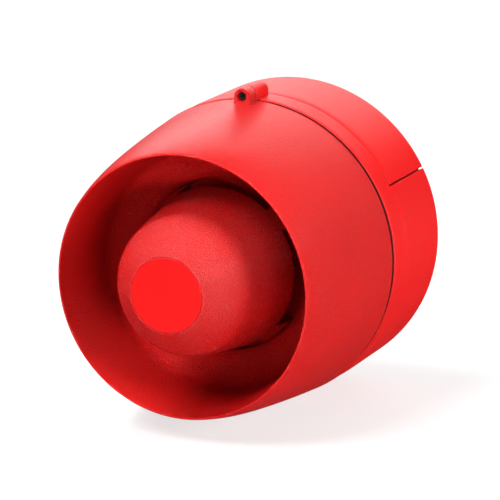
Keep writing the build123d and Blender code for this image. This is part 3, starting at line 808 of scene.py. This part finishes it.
@dataclass
class Base(Assembly):
    """Deep base with its band, the recess under the entry cover, the rear lug and the posts."""

    depth: float = 69.7
    front_radius: float = 81.9
    seam_step: float = 2.1
    seal_radius: float = 81.2
    seal_reach: tuple[float, float] = (-0.2, 2.0)
    band_radius: float = 82.15
    rear_radius: float = 82.95
    band_depth: float = 17.2
    step: tuple[float, float] = (0.3, 3.0)
    edge_round: float = 0.35
    rear_round: float = 3.0
    wall: float = 2.5
    back_wall: float = 3.0
    recess_half_angle: float = 62.7
    cover_half_angle: float = 62.0
    floor_radius: float = 79.4
    cover_inside: float = 79.9
    cover_gap: float = 0.35
    cover_columns: int = 110
    cable_radius: float = 10.0
    wall_hole: tuple[float, float, float] = (50.0, 40.0, 2.6)
    conduit: tuple[float, float] = (10.0, -27.0)
    posts: tuple[tuple[float, float], ...] = ((-36, -54), (36, -54), (-36, -20), (36, -20))
    post_radius: float = 3.5
    pilot: tuple[float, float] = (1.3, 9.0)
    post_front: float = -28.4
    lug_foot: float = 79.2
    insert_bore: tuple[float, float] = (2.2, 12.0)

    @property
    def band_end(self) -> float:
        """Y of the band's rear edge."""
        return self.band_depth - self.depth

    def side_radius(self, y: np.ndarray) -> np.ndarray:
        """Outer radius at y: a straight taper, with a soft step where the band ends.

        The step is the smooth curve 3 t^2 - 2 t^3, t being the share of its length that lies behind y.
        """
        height, length = self.step
        taper = np.interp(y, [-self.depth, self.band_end, 0.0],
                          [self.front_radius, self.band_radius, self.rear_radius - height])
        share = np.clip((y - self.band_end) / length, 0.0, 1.0)
        return taper + height * share * share * (3 - 2 * share)

    def section(self, recessed: bool) -> np.ndarray:
        """Closed outline of the wall.

        Args:
            recessed: Whether it is the outline under the cover. Both kinds have the same rows.

        Returns:
            (rows, 2) array of radius and y.
        """
        front, band_end = -self.depth, self.band_end
        edge = front + self.seam_step
        band_y = np.linspace(edge + 0.5, band_end - 0.3, 8)
        body_y = np.linspace(band_end + 0.03, -self.rear_round, 22)
        turn = np.linspace(0.0, math.pi / 2, 8)[1:]
        inner_front = self.front_radius - self.wall
        corner = self.side_radius(np.array(band_end))
        lead = [(inner_front, front), (inner_front + 0.3, front), (inner_front + 0.32, edge),
                (self.front_radius - 0.3, edge), (self.front_radius - 0.05, edge + 0.2)]
        band = np.stack([self.side_radius(band_y), band_y], -1)
        if recessed:
            lip = [(corner - 0.1, band_end - 0.08), (corner - 0.4, band_end)]
            body = np.stack([np.full_like(body_y, self.floor_radius), body_y], -1)
            radius = 0.5
            foot = (self.floor_radius - radius, -radius)
            inner_rear = inner_middle = self.floor_radius - self.wall
        else:
            lip = [(corner, band_end - 0.1), (corner, band_end)]
            body = np.stack([self.side_radius(body_y), body_y], -1)
            radius = self.rear_round
            foot = (self.side_radius(np.array(-radius)) - radius, -radius)
            inner_rear, inner_middle = self.rear_radius - self.wall - 0.5, inner_front + 0.4
        shelf = [(inner_rear, -self.back_wall - 2.0), (inner_middle, band_end - self.wall),
                 (inner_front, band_end - self.wall - 0.6)]
        rear = np.stack([foot[0] + radius * np.cos(turn), foot[1] + radius * np.sin(turn)], -1)
        hub = [(70.0, 0.0), (40.0, 0.0), (self.cable_radius, 0.0), (self.cable_radius, -self.back_wall),
               (40.0, -self.back_wall), (74.0, -self.back_wall)]
        return np.concatenate([lead, band, lip, body, rear, hub, shelf])

    def columns(self) -> np.ndarray:
        """Column angles: an even turn, with close pairs where the recess begins and ends."""
        edge = self.recess_half_angle
        fine = edge + np.array([-0.5, -0.02, 0.02, 0.12, 0.35, 0.8])
        even = np.linspace(0.0, 360.0, 241)[:-1]
        clear = even[(np.abs(even - edge) > 1.2) & (np.abs(even - 360 + edge) > 1.2)]
        return np.sort(np.concatenate([clear, fine, 360 - fine]))

    def shell(self) -> np.ndarray:
        """Grid of the base: each column takes the plain or the recessed outline.

        Behind the band, next to the recess, the plain wall's edge is rounded: its radius drops by a
        quarter circle.
        """
        angles = self.columns()
        around = np.minimum(angles, 360 - angles)
        recessed = around < self.recess_half_angle
        plain, deep = self.section(False), self.section(True)
        table = np.where(recessed[None, :, None], deep[:, None, :], plain[:, None, :])
        near = np.clip(1 - (around - self.recess_half_angle) / self.edge_round, 0.0, 1.0)
        drop = self.edge_round * (1 - np.sqrt(1 - near ** 2))
        outside = plain[:, 0] > self.floor_radius + 0.6
        behind = outside & (plain[:, 1] > self.band_end)
        table[..., 0] -= drop[None, :] * behind[:, None] * ~recessed[None, :]
        return turned(table, angles)

    def cover_loop(self) -> np.ndarray:
        """Closed section of the entry cover, as radius and y: nose, side, rear round and back."""
        front = self.band_end + self.cover_gap
        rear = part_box("entry_cover")[1].y / MM
        reach = rear + self.rear_round
        side_y = np.linspace(front + 0.45, -self.rear_round, 20)
        side_radius = self.side_radius(side_y)
        side = np.stack([side_radius, side_y], -1)
        turn = np.linspace(0.0, math.acos(1 - reach / self.rear_round * 0.9), 7)[1:]
        rear_radius = side_radius[-1] - self.rear_round + self.rear_round * np.cos(turn)
        rear_y = -self.rear_round + reach * np.sin(turn) / np.sin(turn[-1])
        nose = np.array([(self.cover_inside, front + 0.3), (self.cover_inside + 0.2, front),
                         (side_radius[0] - 0.35, front), (side_radius[0] - 0.08, front + 0.12)])
        back = np.array([(self.cover_inside + 0.3, rear), (self.cover_inside, rear - 0.3)])
        return np.concatenate([nose, side, np.stack([rear_radius, rear_y], -1), back])

    def cover(self) -> np.ndarray:
        """Grid of the entry cover: its section carried round the top.

        Near both ends the section shrinks towards its middle, which rounds the end's edges, and at the
        ends themselves it closes onto its middle.
        """
        loop = self.cover_loop()
        middle = loop.mean(axis=0)
        half = self.cover_half_angle
        ends = np.array([0.0, 0.0, 0.08, 0.3])
        inset = np.array([0.0, 0.06, 0.015, 0.0])
        even = np.linspace(-half + 0.6, half - 0.6, self.cover_columns)
        angles = np.concatenate([-half + ends, even, half - ends[::-1]])
        shrink = np.concatenate([inset, np.zeros(self.cover_columns), inset[::-1]])
        pull = shrink[None, :, None] * np.array([1.0, 0.08])
        table = loop[:, None, :] * (1 - pull) + middle * pull
        table[:, [0, -1]] = middle
        return turned(table, angles)

    def post(self, x: float, z: float) -> np.ndarray:
        """Grid of one board post with a blind pilot hole."""
        pilot_radius, pilot_length = self.pilot
        profile = rounded([
            (0.0, self.post_front + pilot_length, 0.0),
            (pilot_radius, self.post_front + pilot_length, 0.0),
            (pilot_radius, self.post_front, 0.0),
            (self.post_radius, self.post_front, 0.3),
            (self.post_radius + 0.3, -self.back_wall, 0.0),
            (0.0, -self.back_wall + 0.5, 0.0),
        ])
        return turned(profile, full_turn(32)) + np.array([x, 0.0, z])

    def seal(self) -> np.ndarray:
        """Grid of the seal in the seam: a flat ring with its front edges rounded."""
        front, rear = (reach - self.depth for reach in self.seal_reach)
        inside = self.front_radius - self.wall + 0.4
        return turned(rounded([
            (inside, rear, 0.0),
            (inside, front, 0.2),
            (self.seal_radius, front, 0.25),
            (self.seal_radius, rear, 0.0),
        ]), full_turn(240))

    def holes(self) -> Skin:
        """Four wall holes along Y, and the round conduit entry along Z in the recess floor."""
        half_x, half_z, radius = self.wall_hole
        hole = column(radius, -self.back_wall - 2.0, 2.0)
        skin = Skin()
        for x in (-half_x, half_x):
            for z in (-half_z, half_z):
                skin.add(hole + np.array([x, 0.0, z]), False, True)
        radius, y = self.conduit
        reach = self.wall + 6.0
        upright = column(radius, self.floor_radius - reach, self.floor_radius + reach, 64)[..., [0, 2, 1]]
        return skin.add(upright + np.array([0.0, y, 0.0]), False, True)

    def build(self) -> None:
        """Make the base with its lug and posts, the seam's seal and the entry cover."""
        skin = Skin().add(self.shell(), True, True)
        bore, reach = self.insert_bore
        lug = Lug(foot=self.lug_foot).capped(-self.depth, self.band_end - 0.5, bore, -self.depth + reach)
        skin.add(lug, False, True)
        for x, z in self.posts:
            skin.add(self.post(x, z), False, True)
        shell = skin.solid("base_skin")
        cut(shell, self.holes())
        self.settle(shell, "base", RED_SATIN, "red_smooth", "base_shell")
        ring = Skin().add(self.seal(), True, True).solid("seam_seal")
        self.settle(ring, "base", RUBBER, "black_rubber", "joint_seal")
        cover = Skin().add(self.cover(), True, False).solid("conduit_cover")
        self.settle(cover, "entry_cover", RED_SATIN, "red_smooth", "entry_cover")


def cut(piece: bpy.types.Object, holes: Skin) -> None:
    """Cut holes through a piece and keep the result.

    Args:
        piece: The object to cut.
        holes: Closed grids that fill the holes.
    """
    cutter = holes.solid("cutter")
    modifier = piece.modifiers.new("holes", "BOOLEAN")
    modifier.operation, modifier.object, modifier.solver = "DIFFERENCE", cutter, "EXACT"
    bpy.context.view_layer.update()
    mesh = bpy.data.meshes.new_from_object(piece.evaluated_get(bpy.context.evaluated_depsgraph_get()))
    piece.modifiers.clear()
    piece.data = mesh
    mesh.set_sharp_from_angle(angle=math.radians(40.0))
    bpy.data.objects.remove(cutter)


# ------------------------------------------------------------------------------- stage


@dataclass
class Studio:
    """Pale floor, soft lights and the camera."""

    azimuth: float = 23.1
    elevation: float = 13.5
    lens_per_width: float = 5.2
    sensor: float = 36.0
    rim_centre_in_view: tuple[float, float, float] = (-35.1, 19.17, 1303.9)
    floor_size: float = 14.0

    def camera(self) -> None:
        """Place the camera from the mouth centre's offset right, down and ahead of it."""
        turn, tilt = math.radians(self.azimuth), math.radians(self.elevation)
        right = Vector((math.cos(turn), math.sin(turn), 0.0))
        ahead = Vector((-math.sin(turn) * math.cos(tilt), math.cos(turn) * math.cos(tilt), -math.sin(tilt)))
        up = right.cross(ahead)
        across, down, far = (value * MM for value in self.rim_centre_in_view)
        centre = Vector((0.0, Horn.rim_y() * MM, 0.0))
        data = bpy.data.cameras.new("view")
        data.sensor_width = self.sensor
        data.lens = self.sensor * self.lens_per_width
        data.clip_start, data.clip_end = 0.05, 40.0
        camera = bpy.data.objects.new("view", data)
        bpy.context.scene.collection.objects.link(camera)
        camera.location = centre - right * across + up * down - ahead * far
        camera.rotation_euler = Matrix((right, up, -ahead)).transposed().to_euler()
        bpy.context.scene.camera = camera

    def floor(self) -> None:
        """White sweep that the siren lies on."""
        low = CAD_BOX[0].z
        half = self.floor_size / 2
        corners = [(-half, -half, low), (half, -half, low), (half, half, low), (-half, half, low)]
        mesh = bpy.data.meshes.new("floor")
        mesh.from_pydata(corners, [], [(0, 1, 2, 3)])
        floor = bpy.data.objects.new("floor", mesh)
        bpy.context.scene.collection.objects.link(floor)
        build = Builder("floor_paper")
        build.surface.inputs["Base Color"].default_value = (0.3, 0.3, 0.3, 1.0)
        build.surface.inputs["Roughness"].default_value = 0.9
        build.surface.inputs["Specular IOR Level"].default_value = 0.1
        build.surface.inputs["Emission Color"].default_value = (1.0, 1.0, 1.0, 1.0)
        build.surface.inputs["Emission Strength"].default_value = 0.68
        mesh.materials.append(build.material)
        floor.visible_glossy = False

    def light(self, name: str, place: tuple[float, float, float], size: tuple[float, float],
              power: float) -> None:
        """Rectangular soft light that faces the siren's middle.

        Args:
            name: Name of the light.
            place: Where it stands, in metres.
            size: Its width and height in metres.
            power: Watts.
        """
        data = bpy.data.lights.new(name, "AREA")
        data.shape = "RECTANGLE"
        data.size, data.size_y = size
        data.energy = power
        lamp = bpy.data.objects.new(name, data)
        bpy.context.scene.collection.objects.link(lamp)
        lamp.location = place
        lamp.rotation_euler = (Vector((0.0, -0.08, 0.0)) - lamp.location).to_track_quat("-Z", "Y").to_euler()

    def sky(self) -> None:
        """Even white light from all round, and one wide soft sun from above."""
        world = bpy.data.worlds.new("studio")
        world.use_nodes = True
        background = world.node_tree.nodes["Background"]
        background.inputs["Color"].default_value = (1.0, 1.0, 1.0, 1.0)
        background.inputs["Strength"].default_value = 0.04
        bpy.context.scene.world = world
        data = bpy.data.lights.new("sun", "SUN")
        data.energy, data.angle = 1.0, math.radians(70.0)
        lamp = bpy.data.objects.new("sun", data)
        bpy.context.scene.collection.objects.link(lamp)
        lamp.rotation_euler = Vector((-0.1, -0.25, -1.0)).to_track_quat("-Z", "Y").to_euler()

    def build(self) -> None:
        """Set up the whole studio."""
        self.camera()
        self.floor()
        self.sky()
        self.light("key", (-0.4, -1.2, 1.2), (0.6, 0.6), 32.0)
        self.light("overhead left", (-0.6, -0.35, 1.4), (0.4, 0.4), 30.0)
        self.light("front", (0.1, -2.0, 0.2), (0.4, 0.4), 5.0)
        self.light("low front", (1.1, -1.3, -0.02), (0.6, 0.12), 14.0)
        self.light("side", (1.5, -0.32, 0.42), (0.5, 0.7), 16.0)
        self.light("low side", (1.3, 0.4, 0.15), (0.5, 0.4), 8.0)
        self.light("back", (-0.6, 1.7, 0.5), (1.4, 0.5), 8.0)
        bpy.context.scene.view_settings.view_transform = "Standard"


def main() -> None:
    """Build every sub-assembly in order."""
    logging.basicConfig(level=logging.INFO, format="%(name)s %(message)s")
    dresser = Dresser()
    Studio().build()
    assemblies = [Horn(dresser), CentreBody(dresser), Base(dresser)]
    for assembly in assemblies:
        assembly.build()
    dresser.carry_over(set().union(*(assembly.replaced for assembly in assemblies)))


if __name__ == "__main__":
    main()
